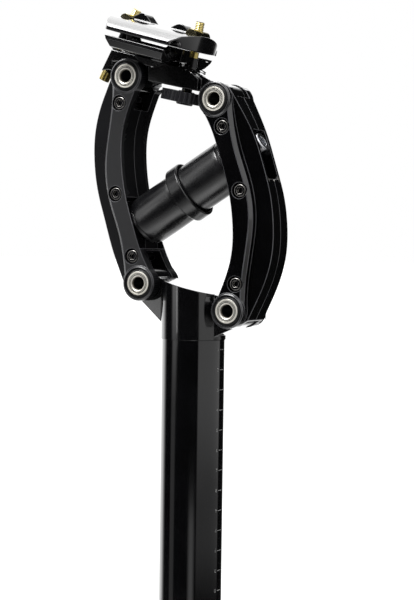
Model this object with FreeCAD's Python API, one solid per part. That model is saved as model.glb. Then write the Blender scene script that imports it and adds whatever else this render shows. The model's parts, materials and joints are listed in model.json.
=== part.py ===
import FreeCAD, Part
import math
import os

# Suspension seatpost: a parallelogram of two clamshell links between a post head and a saddle head,
# with an elastomer stack across its diagonal.
# Frame: +X to the front of the bicycle, +Y to its left, +Z up the post.
# The origin is on the post's centre line, at the step where the tube meets the post head.

os.makedirs("parts", exist_ok=True)

# ---- driving dimensions, mm and degrees ----
post_diameter = 31.6
post_wall = 2.3
post_length = 253.0
post_end_chamfer = 0.6
spigot_length = 32.0
base_step = 0.5              # how far the post head stands proud of the tube
base_top_rise = 5.0          # the post head's sloping top, above the pivot line

lower_pivot_x = -24.2        # rear lower pivot
lower_pivot_z = 27.6
pivot_pitch = 50.8           # rear to front pivot, the same on post head and saddle head
pivot_slope = 14.3           # the pivot line runs down to the front
link_length = 103.6
link_lean = 4.8              # links lean to the rear at rest
swing_range = 40.0

link_half_width = 14.5       # at the bosses
plate_recess = 1.0           # side plates lie this far inside the bosses
plate_bevel = 1.6
boss_radius = 8.75
boss_chamfer = 0.8
plate_bow = 16.2             # how far the plate's outer edge bows out from the pivot line
inner_bow = 5.6              # the same of the link's inner edge
rear_spine_bow = 24.0        # the same of the spine's outer face
front_spine_bow = 25.2
end_inner_low = 4.5          # the inner edge's ends, inside the pivot line
end_inner_high = 6.2
spine_end_reach = 5.2        # the spine's outer face runs on past the pivots
fork_gap = 14.4              # between the two bosses of one link
fork_depth = 16.2            # how far the opening runs up the inner side
fork_out = 3.6
lug_side_gap = 0.4
lug_radius = 8.1
lug_end_gap = 1.5

axle_radius = 5.0
axle_bore = 3.4
running_gap = 0.04
bushing_radius = 5.95
seal_radius = 7.6
seal_depth = 1.1

screw_radius = 2.0
screw_head_radius = 3.2
screw_head_height = 3.0
screw_sink = 3.6
screw_grip = 9.0
screw_from_lower = 12.9      # first screw, along the link from its lower pivot
screw_under_seat = 15.2      # second screw, below the elastomer seat
screw_from_upper = 13.7      # third screw, below the upper pivot
screw_outs = (5.0, 10.4, 3.1)

seat_from_upper = 30.4       # elastomer seat on a link, below its upper pivot
seat_out = 1.5
seat_ball_radius = 8.0
seat_disc_radius = 12.2
seat_disc_thickness = 1.6
seat_gap = 0.3
neck_radius = 5.2
neck_bore = 4.2
neck_length = 13.5
slot_half_width = 5.8        # at its upper side; it runs further down, for reaching the preload bolt
slot_low_half_width = 9.6
elastomer_radius = 12.7
elastomer_bore = 5.0
collar_radius = 14.8
collar_web = 2.5
collar_cup = 4.5
collar_offset = 1.6          # the collar sits this far behind the middle of the stack
collar_cup_gap = 0.7
preload_bolt_radius = 3.0
preload_head_radius = 5.0
preload_head_height = 5.5
preload_nut_length = 5.0

clamp_tilt = 15.0            # saddle rails run down to the front, level once the post leans back
rail_ahead = 13.37           # middle of the rail clamp, from the upper rear pivot
rail_rise = 16.66
rail_radius = 3.5
rail_half_spacing = 22.0
clamp_half_width = 26.5
upper_jaw_low = 0.5          # the jaws' facing sides, over the rails' centre line
lower_jaw_top = -2.0
jaw_rear = -18.4             # the jaws' ends at the rails
jaw_front = 17.2
jaw_rear_bulge = -28.0       # and in the middle, round the bolts
jaw_front_bulge = 23.8
jaw_top = 8.8                # the upper jaw is arched, lower at its shoulders
jaw_shoulder = 6.2
ear_half_width = 4.5         # ears of the lower jaw, between the bolts
ear_top_gap = 0.3
rib_half_width = 4.0
rocker_radius = 12.0
rocker_half_width = 10.6
rocker_gap = 0.3
head_top_drop = 8.8          # top of the saddle head, below the rails' centre line
clamp_bolt_radius = 2.3      # mean radius of the thread
clamp_slot_gap = 0.5
rear_bolt_head_radius = 2.7
sleeve_radius = 2.9
barrel_nut_radius = 3.0
barrel_nut_length = 16.0
wheel_radius = 12.2
wheel_height = 5.4
wheel_gap = 1.7              # room for the wheel to swing with the clamp's tilt
tilt_range = 3.0
wheel_flutes = 32

beyond = 150.0               # well past the part, for cutting

V = FreeCAD.Vector
Y_AXIS = V(0, 1, 0)


# ---- small helpers ----
def direction(angle):
    return V(math.cos(math.radians(angle)), 0, math.sin(math.radians(angle)))


def rod(start, along, radius, length):
    return Part.makeCylinder(radius, length, start, along)


def tube(start, along, radius, bore, length):
    return rod(start, along, radius, length).cut(rod(start, along, bore, length))


def crossbar(x, z, radius, y_from, y_to):
    return rod(V(x, y_from, z), Y_AXIS, radius, y_to - y_from)


def closed_face(edges):
    return Part.Face(Part.Wire(Part.__sortEdges__(edges)))


def smooth(points):
    curve = Part.BSplineCurve()
    curve.interpolate(points)
    return curve.toShape()


def lines(points):
    return [Part.LineSegment(a, b).toShape() for a, b in zip(points, points[1:])]


def prism(points, sweep):
    return Part.Face(Part.makePolygon(list(points) + [points[0]])).extrude(sweep)


def side_prism(corners, y_from, y_to):
    return prism([V(x, y_from, z) for x, z in corners], V(0, y_to - y_from, 0))


def joined(shapes):
    whole = shapes[0]
    for shape in shapes[1:]:
        whole = whole.fuse(shape)
    return whole.removeSplitter()


def carved(shape, cutters):
    for cutter in cutters:
        shape = shape.cut(cutter)
    return shape


def mirrored(shape):
    return shape.mirror(V(0, 0, 0), Y_AXIS)


def placed(shape, place):
    copy = shape.copy()
    copy.Placement = place.multiply(copy.Placement)
    return copy


def save(name, shape):
    shape.exportStep("parts/" + name + ".step")


# ---- the four pivots ----
lower_rear = V(lower_pivot_x, 0, lower_pivot_z)
pitch_vector = direction(-pivot_slope) * pivot_pitch
lower_front = lower_rear + pitch_vector
link_vector = direction(90 + link_lean) * link_length
upper_rear = lower_rear + link_vector
upper_front = lower_front + link_vector

# A link is drawn with its lower pivot at the origin, x outwards, z along it.
# The rear link is the same part turned end for end.
front_place = FreeCAD.Placement(lower_front, FreeCAD.Rotation(Y_AXIS, -link_lean))
rear_place = FreeCAD.Placement(upper_rear, FreeCAD.Rotation(Y_AXIS, 180 - link_lean))

# ---- the elastomer stack's line, between the two seats ----
seat_along = link_length - seat_from_upper
seat_local = V(seat_out, 0, seat_along)
seat_front = front_place.multVec(seat_local)
seat_rear = rear_place.multVec(seat_local)
stack_vector = seat_front - seat_rear
stack_length = stack_vector.Length
stack_axis = V(stack_vector).normalize()
stack_angle = math.degrees(math.atan2(stack_axis.z, stack_axis.x))


def stack_at_swing(swing):
    turned = FreeCAD.Rotation(Y_AXIS, -swing).multVec(stack_vector - pitch_vector) + pitch_vector
    return turned.Length, math.degrees(math.atan2(turned.z, turned.x)) - swing


pressed_length, pressed_angle = stack_at_swing(swing_range)
rest_tilt = stack_angle - link_lean
pressed_tilt = pressed_angle - link_lean

# ---- clamp frame: x forward along the rails, z square to them ----
rail_middle = upper_rear + V(rail_ahead, 0, rail_rise)
clamp_place = FreeCAD.Placement(rail_middle, FreeCAD.Rotation(Y_AXIS, clamp_tilt))
rear_nut = V(-20.2, 0, 7.45)
front_nut = V(18.2, 0, 8.2)
rear_bolt_lean = 13.9
front_bolt_lean = -3.0
rear_bolt_below = 28.6       # nut to the rear bolt's head
sleeve_below = 5.5           # nut to the top of the sleeve on the rear bolt
front_bolt_below = 28.1      # nut to the top of the tilt wheel
front_bolt_above = 7.1
rear_bolt_above = 6.2


def clamp_dir(lean):
    return V(math.sin(math.radians(lean)), 0, math.cos(math.radians(lean)))


# ---- one half of a link, on the -Y side, in the link's own frame ----
# each profile is (share of the link's length, share of its bow)
outer_profile = ((0.135, 0.63), (0.27, 0.821), (0.434, 1.0), (0.589, 0.92), (0.753, 0.66), (0.869, 0.556))
inner_profile = ((0.135, -0.214), (0.251, 0.643), (0.415, 1.0), (0.579, 0.786), (0.734, 0.179), (0.859, -0.464))
spine_profile = ((0.005, 0.483), (0.118, 0.742), (0.253, 0.938), (0.386, 1.0), (0.555, 0.958), (0.656, 0.871),
                 (0.83, 0.688), (0.958, 0.475))


spine_widths = ((-0.116, 0.648), (0.193, 0.6), (0.463, 0.579), (0.83, 0.593), (0.965, 0.717), (1.116, 0.89))


def profile_points(profile, bow, y):
    return [V(bow * out, y, link_length * along) for along, out in profile]


def link_outer_edge(y):
    return smooth([V(boss_radius, y, 0)] + profile_points(outer_profile, plate_bow, y)
                  + [V(boss_radius, y, link_length)])


def inner_ends(y):
    return V(-end_inner_low, y, 7.5), V(-end_inner_high, y, link_length - end_inner_high)


def link_inner_edge(y):
    low, high = inner_ends(y)
    return smooth([low] + profile_points(inner_profile, inner_bow, y) + [high])


def link_plate():
    y = -link_half_width + plate_recess
    outer = link_outer_edge(y)
    inner = link_inner_edge(y)
    low, high = inner_ends(y)
    bottom = lines([low, V(0, y, 0), V(boss_radius, y, 0)])
    top = lines([high, V(0, y, link_length), V(boss_radius, y, link_length)])
    plate = closed_face([outer, inner] + bottom + top).extrude(V(0, -y, 0))
    bevelled = [e for e in plate.Edges
                if all(abs(v.Y - y) < 0.01 for v in e.Vertexes)
                and abs(e.Vertexes[0].X - boss_radius) + abs(e.Vertexes[1].X - boss_radius) < 0.01]
    return plate.makeChamfer(plate_bevel, bevelled)


def link_spine(bow):
    foot = V(boss_radius, 0, -spine_end_reach)
    head = V(boss_radius * 0.87, 0, link_length + spine_end_reach)
    outer = smooth([foot] + profile_points(spine_profile, bow, 0) + [head])
    inner = link_inner_edge(0)
    low, high = inner_ends(0)
    bottom = lines([low, V(0, 0, 0), V(3, 0, -lug_radius), foot])
    top = lines([high, V(0, 0, link_length), V(3, 0, link_length + lug_radius), head])
    body = closed_face([outer, inner] + bottom + top).extrude(V(0, -link_half_width, 0))
    # the spine is narrow along its middle and flares at the upper end
    side = smooth([V(-20, -link_half_width * half, link_length * along) for along, half in spine_widths])
    far_low = V(-20, 0, link_length * spine_widths[0][0])
    far_high = V(-20, 0, link_length * spine_widths[-1][0])
    ends = lines([V(-20, side.Vertexes[0].Y, far_low.z), far_low, far_high,
                  V(-20, side.Vertexes[-1].Y, far_high.z)])
    width = closed_face([side] + ends).extrude(V(60, 0, 0))
    return body.common(width)


def seat_relief():
    # room for the seat's ball, disc and elastomer over the whole swing
    half = elastomer_radius + seat_gap
    high = direction(rest_tilt)
    low = direction(pressed_tilt)
    square_high = direction(rest_tilt + 90)
    square_low = direction(pressed_tilt + 90)
    top = seat_local + low * seat_gap + square_low * half
    bottom = seat_local + high * seat_gap - square_high * half
    pocket = [top, seat_local + (high + low) * (seat_gap / 2), bottom, bottom - high * 34, top - low * 34]
    up_side = seat_local + square_high * slot_half_width
    low_side = seat_local - square_low * slot_low_half_width
    slot = [up_side, up_side + high * 34, low_side + low * 34, low_side]
    return [Part.makeSphere(seat_ball_radius + seat_gap, seat_local),
            side_prism([(c.x, c.z) for c in pocket], -half, half),
            side_prism([(c.x, c.z) for c in slot], -slot_half_width, slot_half_width)]


def fork_slots():
    # each end is open in the middle for the lug of the post head or saddle head
    cutters = []
    half = fork_gap / 2
    for z, sign in ((0, 1), (link_length, -1)):
        cutters.append(crossbar(0, z, lug_radius + lug_end_gap, -half, half))
        reach = fork_depth * sign
        corners = [(fork_out, z - 14 * sign), (fork_out, z + reach), (-14, z + reach), (-14, z - 14 * sign)]
        cutters.append(side_prism(corners, -half, half))
    return cutters


def link_near_half(bow):
    bosses = []
    for z in (0, link_length):
        boss = crossbar(0, z, boss_radius, -link_half_width, 0)
        rim = [e for e in boss.Edges if abs(e.CenterOfMass.y + link_half_width) < 0.01]
        bosses.append(boss.makeChamfer(boss_chamfer, rim))
    half = joined([link_plate(), link_spine(bow)] + bosses)
    cutters = seat_relief() + fork_slots()
    for z in (0, link_length):
        cutters.append(crossbar(0, z, bushing_radius, -link_half_width, 0))
        cutters.append(crossbar(0, z, seal_radius, -link_half_width, -link_half_width + seal_depth))
    return carved(half, cutters)


def screw_places():
    alongs = (screw_from_lower, seat_along - screw_under_seat, link_length - screw_from_upper)
    return list(zip(alongs, screw_outs))


def drilled_near(half):
    face = -link_half_width + plate_recess
    cutters = []
    for z, x in screw_places():
        cutters.append(crossbar(x, z, screw_head_radius + 0.7, face - 1, face + screw_sink))
        cutters.append(crossbar(x, z, screw_radius + 0.15, face, 0))
    return carved(half, cutters)


def drilled_far(half):
    cutters = [crossbar(x, z, screw_radius, 0, screw_grip) for z, x in screw_places()]
    return carved(half, cutters)


def link_screw(x, z):
    face = -link_half_width + plate_recess
    seat = face + screw_sink
    head = crossbar(x, z, screw_head_radius, seat - screw_head_height, seat)
    rim = [e for e in head.Edges if abs(e.CenterOfMass.y - (seat - screw_head_height)) < 0.01]
    head = head.makeChamfer(0.35, rim)
    shank = crossbar(x, z, screw_radius, seat, screw_grip - 0.5)
    socket = hexagon_prism(V(x, seat - screw_head_height, z), Y_AXIS, 1.5, 1.8)
    return joined([head, shank]).cut(socket)


def hexagon_prism(start, along, half_flats, depth):
    turn = FreeCAD.Rotation(V(0, 0, 1), along)
    corner = half_flats / math.cos(math.radians(30))
    points = []
    for k in range(6):
        angle = math.radians(60 * k)
        points.append(start + turn.multVec(V(corner * math.cos(angle), corner * math.sin(angle), 0)))
    return prism(points, V(along).normalize() * depth)


def bushing():
    outer = -link_half_width
    inner = -fork_gap / 2
    return crossbar(0, 0, bushing_radius, outer, inner).cut(
        crossbar(0, 0, axle_radius + running_gap, outer, inner))


def seal():
    outer = -link_half_width
    ring = crossbar(0, 0, seal_radius, outer + 0.3, outer + seal_depth)
    return ring.cut(crossbar(0, 0, bushing_radius, outer + 0.3, outer + seal_depth))


def make_links():
    for name, place, bow in (("rear", rear_place, rear_spine_bow), ("front", front_place, front_spine_bow)):
        half = link_near_half(bow)
        near = drilled_near(half)
        far = drilled_far(mirrored(half))
        save(name + "_link_near", placed(near, place))
        save(name + "_link_far", placed(far, place))
        for number, (z, x) in enumerate(screw_places(), 1):
            save(name + "_link_screw_" + str(number), placed(link_screw(x, z), place))
    corners = (("lower_rear", lower_rear), ("lower_front", lower_front),
               ("upper_rear", upper_rear), ("upper_front", upper_front))
    for name, centre in corners:
        place = FreeCAD.Placement(centre, FreeCAD.Rotation())
        for side, turn in (("near", False), ("far", True)):
            for kind, shape in (("bushing", bushing()), ("seal", seal())):
                shape = mirrored(shape) if turn else shape
                save(name + "_" + kind + "_" + side, placed(shape, place))
        axle = crossbar(0, 0, axle_radius, -link_half_width, link_half_width)
        axle = axle.cut(crossbar(0, 0, axle_bore, -link_half_width, link_half_width))
        save(name + "_axle", placed(axle, place))


# ---- post ----
def make_post():
    radius = post_diameter / 2
    post = Part.makeCylinder(radius, post_length, V(0, 0, -post_length))
    ends = [e for e in post.Edges if abs(e.CenterOfMass.z + post_length) < 0.01]
    post = post.makeChamfer(post_end_chamfer, ends)
    post = post.cut(Part.makeCylinder(radius - post_wall, post_length, V(0, 0, -post_length)))
    save("post_tube", post)


def make_base_head():
    half = fork_gap / 2 - lug_side_gap
    body = Part.makeCylinder(post_diameter / 2 + base_step, 60)
    up = direction(90 - pivot_slope)
    a = lower_rear + up * base_top_rise - pitch_vector
    b = lower_front + up * base_top_rise + pitch_vector
    lid = side_prism([(a.x, a.z), (a.x, beyond), (b.x, beyond), (b.x, b.z)], -beyond, beyond)
    body = body.cut(lid)
    rise_angle = math.degrees(math.asin(base_top_rise / lug_radius))
    rear_top = lower_rear + direction(rise_angle - pivot_slope) * lug_radius
    rear_low = lower_rear + direction(218) * lug_radius
    middle_z = rear_top.z - (0 - rear_top.x) * math.tan(math.radians(pivot_slope))
    rear_arm = side_prism([(rear_top.x, rear_top.z), (0, middle_z), (0, 4), (-10, 4),
                           (rear_low.x, rear_low.z)], -half, half)
    front_top = lower_front + direction(180 - pivot_slope - rise_angle) * lug_radius
    front_low = lower_front + direction(-62) * lug_radius
    front_arm = side_prism([(front_top.x, front_top.z), (0, middle_z), (0, 0.5), (12, 0.5),
                            (front_low.x, front_low.z)], -half, half)
    arms = joined([rear_arm, front_arm,
                   crossbar(lower_rear.x, lower_rear.z, lug_radius, -half, half),
                   crossbar(lower_front.x, lower_front.z, lug_radius, -half, half)])
    inside = Part.makeCylinder(post_diameter / 2, beyond)
    arms = arms.cut(lid.common(inside))
    spigot = Part.makeCylinder(post_diameter / 2 - post_wall, spigot_length, V(0, 0, -spigot_length))
    head = joined([body, arms, spigot])
    holes = [crossbar(p.x, p.z, axle_radius, -20, 20) for p in (lower_rear, lower_front)]
    save("base_head", head.cut(holes))


# ---- elastomer stack ----
def seat_cap(centre, inwards):
    # disc under the elastomer, ball in the link's socket, neck out through the link's slot
    ball = Part.makeSphere(seat_ball_radius, centre)
    keep = rod(centre, inwards * -1, seat_ball_radius + 1, seat_ball_radius + 1)
    disc = rod(centre, inwards, seat_disc_radius, seat_disc_thickness)
    neck = rod(centre, inwards * -1, neck_radius, neck_length)
    solid = joined([ball.common(keep), disc, neck])
    return solid.cut(rod(centre - inwards * 20, inwards, neck_bore, 30))


def make_stack():
    back = stack_axis * -1
    save("rear_seat_cap", seat_cap(seat_rear, stack_axis))
    save("front_seat_cap", seat_cap(seat_front, back))
    pad_length = (stack_length - 2 * seat_disc_thickness - collar_web) / 2
    rear_start = seat_rear + stack_axis * seat_disc_thickness
    rear_pad = pad_length - collar_offset
    front_pad = pad_length + collar_offset
    save("rear_elastomer", tube(rear_start, stack_axis, elastomer_radius, elastomer_bore, rear_pad))
    web = rear_start + stack_axis * rear_pad
    collar = tube(web, stack_axis, collar_radius, elastomer_bore, collar_web + collar_cup)
    rim = [e for e in collar.Edges if e.Curve.TypeId == "Part::GeomCircle"
           and abs(e.Curve.Radius - collar_radius) < 0.01]
    collar = collar.makeChamfer(0.5, rim)
    cup = rod(web + stack_axis * collar_web, stack_axis, elastomer_radius + collar_cup_gap, 20)
    save("stack_collar", collar.cut(cup))
    front_start = web + stack_axis * collar_web
    save("front_elastomer", tube(front_start, stack_axis, elastomer_radius, elastomer_bore, front_pad))
    head_seat = seat_front + stack_axis * (neck_length + seat_gap)
    nut_seat = seat_rear - stack_axis * neck_length
    shank = rod(nut_seat - stack_axis * preload_nut_length, stack_axis, preload_bolt_radius,
                stack_length + 2 * neck_length + seat_gap + preload_nut_length)
    head = rod(head_seat, stack_axis, preload_head_radius, preload_head_height)
    rim = [e for e in head.Edges if abs(e.CenterOfMass.distanceToPoint(head_seat)
                                        - preload_head_height) < 0.01]
    head = head.makeChamfer(0.6, rim)
    socket = hexagon_prism(head_seat + stack_axis * preload_head_height, back, 2.5, 3.2)
    save("preload_bolt", joined([shank, head]).cut(socket))
    save("preload_nut", tube(nut_seat, back, preload_head_radius, preload_bolt_radius + running_gap,
                             preload_nut_length))


# ---- saddle head ----
def from_pivot(pivot, forward, height):
    return (pivot.x + forward, pivot.z + height)


def clamp_point(forward, height):
    point = clamp_place.multVec(V(forward, 0, height))
    return (point.x, point.z)


def clamp_height(below):
    # height in the clamp frame of a point on the rear bolt, so far below its nut
    return rear_nut.z - below * math.cos(math.radians(rear_bolt_lean))


def rear_bolt_point(drop):
    # where the rear bolt's line is at this depth below the rails' centre line
    return clamp_point(rear_nut.x - (rear_nut.z + drop) * math.tan(math.radians(rear_bolt_lean)), -drop)


def head_block(wide):
    # wide middle of the saddle head; its underside is square to the front bolt
    aim = clamp_place.Rotation.multVec(clamp_dir(front_bolt_lean))
    centre = clamp_place.multVec(front_nut) - aim * (front_bolt_below - wheel_gap)
    under_slope = -aim.x / aim.z
    clear = boss_radius + 2.0
    rear_x = upper_rear.x + clear
    front_x = upper_front.x - clear
    rear_z = centre.z + (rear_x - centre.x) * under_slope
    front_z = centre.z + (front_x - centre.x) * under_slope
    outline = [(rear_x, rear_z), (front_x, front_z), (front_x + 0.5, front_z + 6),
               clamp_point(23.5, -head_top_drop), clamp_point(-6.0, -head_top_drop),
               (rear_x, rear_z + 9.5)]
    return side_prism(outline, -wide, wide)


def make_saddle_head():
    half = fork_gap / 2 - lug_side_gap
    lug_turn = direction(90 - pivot_slope) * lug_radius
    bolt_seat = rear_bolt_point(-clamp_height(rear_bolt_below))
    rear_arm = side_prism([(upper_rear.x - lug_turn.x, upper_rear.z - lug_turn.z),
                           from_pivot(upper_rear, 18.9, -3.3), from_pivot(upper_rear, 22.9, 2.2),
                           clamp_point(-4, -head_top_drop), rear_bolt_point(head_top_drop),
                           (bolt_seat[0], bolt_seat[1]), (bolt_seat[0] + 4.5, bolt_seat[1] + 0.3),
                           (bolt_seat[0] + 6.0, bolt_seat[1] + 4.6), clamp_point(-13.0, -12.8)], -half, half)
    tip_low = upper_front + direction(152) * lug_radius
    tip_top = upper_front + direction(100) * lug_radius
    front_arm = side_prism([(tip_low.x, tip_low.z), (tip_top.x, tip_top.z),
                            from_pivot(upper_front, -9.4, 12.0), from_pivot(upper_front, -17.0, 16.6),
                            from_pivot(upper_front, -23.4, 17.5),
                            from_pivot(upper_front, -23.4, 9.7), from_pivot(upper_front, -14.4, 6.9)],
                           -half, half)
    head = joined([head_block(rocker_half_width), rear_arm, front_arm,
                   crossbar(upper_rear.x, upper_rear.z, lug_radius, -half, half),
                   crossbar(upper_front.x, upper_front.z, lug_radius, -half, half)])
    cutters = [crossbar(rail_middle.x, rail_middle.z, rocker_radius + rocker_gap, -30, 30)]
    cutters += [crossbar(p.x, p.z, axle_radius, -20, 20) for p in (upper_rear, upper_front)]
    # room for both bolts over the clamp's tilt
    for sway in (-1, 0, 1):
        turn = FreeCAD.Placement(V(0, 0, 0), FreeCAD.Rotation(Y_AXIS, (tilt_range + 0.5) * sway),
                                 rail_middle)
        for nut, lean, radius in ((front_nut, front_bolt_lean, clamp_bolt_radius),
                                  (rear_nut, rear_bolt_lean, sleeve_radius)):
            start = turn.multVec(clamp_place.multVec(nut))
            aim = turn.multiply(clamp_place).Rotation.multVec(clamp_dir(lean))
            cutters.append(rod(start, aim * -1, radius + clamp_slot_gap, beyond))
    save("saddle_head", carved(head, cutters))


def make_lower_jaw():
    wing_top = lower_jaw_top
    outline = [(-clamp_half_width, wing_top), (-clamp_half_width, -4.0), (-24.0, -7.0), (-20.5, -8.4),
               (-12.0, -8.4), (-12.0, wing_top)]
    wing = prism([V(-19, y, z) for y, z in outline], V(37, 0, 0))
    trim = side_prism([(-19, 0), (16.0, 0), (15.8, -2.5), (13.3, -9), (-14.6, -9), (jaw_rear, -2.5)], -30, 30)
    wing = wing.common(trim)
    middle = Part.makeBox(21, 25, 5.8, V(-10.5, -12.5, -6.6))
    rocker = crossbar(0, 0, rocker_radius, -rocker_half_width, rocker_half_width)
    rocker = rocker.common(Part.makeBox(40, 40, 30, V(-20, -20, -30 + wing_top)))
    ear_top = upper_jaw_low - ear_top_gap
    ears = [side_prism(corners, -ear_half_width, ear_half_width) for corners in (
        [(-18.8, -6.2), (-18.8, ear_top), (-15.8, ear_top), (-13.4, wing_top), (-9.0, wing_top), (-9.0, -6.2)],
        [(9.0, -6.2), (4.0, wing_top), (5.4, ear_top), (14.4, ear_top), (14.4, -6.2)])]
    jaw = joined([wing, mirrored(wing), middle, rocker] + ears)
    grooves = [rod(V(-beyond, y, 0), V(1, 0, 0), rail_radius, 2 * beyond)
               for y in (-rail_half_spacing, rail_half_spacing)]
    save("lower_jaw", placed(jaw.cut(grooves), clamp_place))


def make_upper_jaw():
    low = upper_jaw_low
    edge = 2.6
    shoulder = clamp_half_width - 6.5
    shares = (-1, -0.75, -0.5, -0.25, 0, 0.25, 0.5, 0.75, 1)
    arch = [(shoulder * k, jaw_top - (jaw_top - jaw_shoulder) * k * k) for k in shares]
    outline = [(-clamp_half_width, low), (-clamp_half_width, edge)] + arch
    outline += [(clamp_half_width, edge), (clamp_half_width, low)]
    plate = prism([V(-beyond, y, z) for y, z in outline], V(2 * beyond, 0, 0))
    # the plate's ends bulge in the middle, round the bolts
    plan = []
    for side, corner, middle in ((-1, jaw_rear, jaw_rear_bulge), (1, jaw_front, jaw_front_bulge)):
        half = clamp_half_width
        plan.append(Part.Arc(V(corner, -half * -side, 0), V(middle, 0, 0), V(corner, half * -side, 0)).toShape())
    ends = [p.Vertexes for p in plan]
    rims = lines([ends[0][1].Point, ends[1][0].Point]) + lines([ends[1][1].Point, ends[0][0].Point])
    plate = plate.common(closed_face(plan + rims).extrude(V(0, 0, 30)))
    crest = smooth([V(x, 0, z) for x, z in ((-23, 7.6), (-20, 8.7), (-12.8, 12.6), (-5.5, 7.9), (2, 7.9),
                                             (9.2, 12.2), (16.2, 8.6), (19, 7.6))])
    under = lines([V(19, 0, 7.6), V(19, 0, 3), V(-23, 0, 3), V(-23, 0, 7.6)])
    rib = closed_face([crest] + under).extrude(V(0, 2 * rib_half_width, 0))
    rib.translate(V(0, -rib_half_width, 0))
    jaw = joined([plate, rib])
    cutters = [rod(V(-beyond, y, 0), V(1, 0, 0), rail_radius, 2 * beyond)
               for y in (-rail_half_spacing, rail_half_spacing)]
    for nut, lean in ((rear_nut, rear_bolt_lean), (front_nut, front_bolt_lean)):
        reach = barrel_nut_length / 2 + 0.4
        cutters.append(crossbar(nut.x, nut.z, barrel_nut_radius + 0.05, -reach, reach))
        aim = clamp_dir(lean)
        cutters.append(rod(nut - aim * 20, aim, clamp_bolt_radius + clamp_slot_gap, 40))
    cutters.append(rod(rear_nut, clamp_dir(rear_bolt_lean) * -1, sleeve_radius + clamp_slot_gap, beyond))
    save("upper_jaw", placed(carved(jaw, cutters), clamp_place))


def make_clamp_bolts():
    for name, nut, lean in (("rear", rear_nut, rear_bolt_lean), ("front", front_nut, front_bolt_lean)):
        half = barrel_nut_length / 2
        barrel = crossbar(nut.x, nut.z, barrel_nut_radius, -half, half)
        aim = clamp_dir(lean)
        hole = rod(nut - aim * 10, aim, clamp_bolt_radius + running_gap, 20)
        save(name + "_barrel_nut", placed(barrel.cut(hole), clamp_place))
    aim = clamp_dir(rear_bolt_lean)
    seat = rear_nut - aim * rear_bolt_below
    shank = rod(seat, aim, clamp_bolt_radius, rear_bolt_below + rear_bolt_above)
    head = rod(seat, aim * -1, rear_bolt_head_radius, 5.0)
    socket = hexagon_prism(seat - aim * 5.0, aim, 2.0, 2.8)
    save("rear_clamp_bolt", placed(joined([shank, head]).cut(socket), clamp_place))
    sleeve = tube(seat, aim, sleeve_radius, clamp_bolt_radius, rear_bolt_below - sleeve_below)
    save("rear_bolt_sleeve", placed(sleeve, clamp_place))
    aim = clamp_dir(front_bolt_lean)
    low = front_nut - aim * (front_bolt_below + wheel_height)
    save("front_clamp_bolt", placed(rod(low - aim * 1.0, aim, clamp_bolt_radius,
                                        front_bolt_below + wheel_height + front_bolt_above + 1.0), clamp_place))
    wheel = rod(low, aim, wheel_radius, wheel_height)
    side = V(1, 0, 0).cross(aim)
    flutes = []
    for k in range(wheel_flutes):
        turn = FreeCAD.Rotation(aim, 360.0 * k / wheel_flutes)
        spot = low + turn.multVec(side) * (wheel_radius + 0.35)
        flutes.append(rod(spot, aim, 0.8, wheel_height + 1))
    flutes.append(rod(low, aim, clamp_bolt_radius + running_gap, wheel_height + 1))
    save("tilt_wheel", placed(wheel.cut(flutes), clamp_place))


make_post()
make_base_head()
make_links()
make_stack()
make_saddle_head()
make_lower_jaw()
make_upper_jaw()
make_clamp_bolts()
print("stack length", round(stack_length, 2), "pressed", round(pressed_length, 2))
print("stack tilt in the link, rest", round(rest_tilt, 2), "pressed", round(pressed_tilt, 2))
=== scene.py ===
import json
import math
import bmesh
import bpy
from mathutils import Matrix, Vector


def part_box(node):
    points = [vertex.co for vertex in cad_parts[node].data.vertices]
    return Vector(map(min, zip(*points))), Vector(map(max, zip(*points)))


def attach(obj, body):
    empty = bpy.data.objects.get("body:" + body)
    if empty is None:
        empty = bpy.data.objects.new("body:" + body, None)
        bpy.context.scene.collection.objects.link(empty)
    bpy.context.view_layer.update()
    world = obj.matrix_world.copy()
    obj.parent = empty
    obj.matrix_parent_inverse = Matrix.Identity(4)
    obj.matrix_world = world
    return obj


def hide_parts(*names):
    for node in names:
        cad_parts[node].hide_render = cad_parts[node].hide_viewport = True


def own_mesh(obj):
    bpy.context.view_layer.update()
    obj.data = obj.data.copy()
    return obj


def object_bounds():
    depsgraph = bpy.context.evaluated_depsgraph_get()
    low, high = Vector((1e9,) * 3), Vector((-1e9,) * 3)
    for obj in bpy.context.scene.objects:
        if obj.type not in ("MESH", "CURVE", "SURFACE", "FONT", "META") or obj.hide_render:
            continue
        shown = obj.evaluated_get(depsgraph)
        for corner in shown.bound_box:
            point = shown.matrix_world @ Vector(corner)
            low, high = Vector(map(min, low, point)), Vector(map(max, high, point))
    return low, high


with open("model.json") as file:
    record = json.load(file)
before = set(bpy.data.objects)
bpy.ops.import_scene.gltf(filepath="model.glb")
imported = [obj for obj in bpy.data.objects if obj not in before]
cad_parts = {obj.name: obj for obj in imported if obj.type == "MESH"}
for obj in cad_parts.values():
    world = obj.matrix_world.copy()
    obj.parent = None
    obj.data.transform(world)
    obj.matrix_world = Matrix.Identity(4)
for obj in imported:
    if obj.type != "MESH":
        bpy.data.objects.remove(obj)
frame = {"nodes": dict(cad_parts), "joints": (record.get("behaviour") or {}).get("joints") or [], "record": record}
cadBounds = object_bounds()
cadNodes = frame["nodes"]
record = frame["record"]
bodyOfNode = {node: body for body, nodes in record["behaviour"]["bodies"].items() for node in nodes}
slotOfNode = {part["node"]: part["material_slot"] for part in record["subparts"]}
print("frame loaded:", len(cadNodes), "nodes")


def mm(value):
    return value / 1000


def linear(hexColour):  # sRGB hex to the linear values a shader takes
    channels = [int(hexColour[i:i + 2], 16) / 255 for i in (0, 2, 4)]
    return [c / 12.92 if c <= 0.04045 else ((c + 0.055) / 1.055) ** 2.4 for c in channels] + [1.0]


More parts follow.
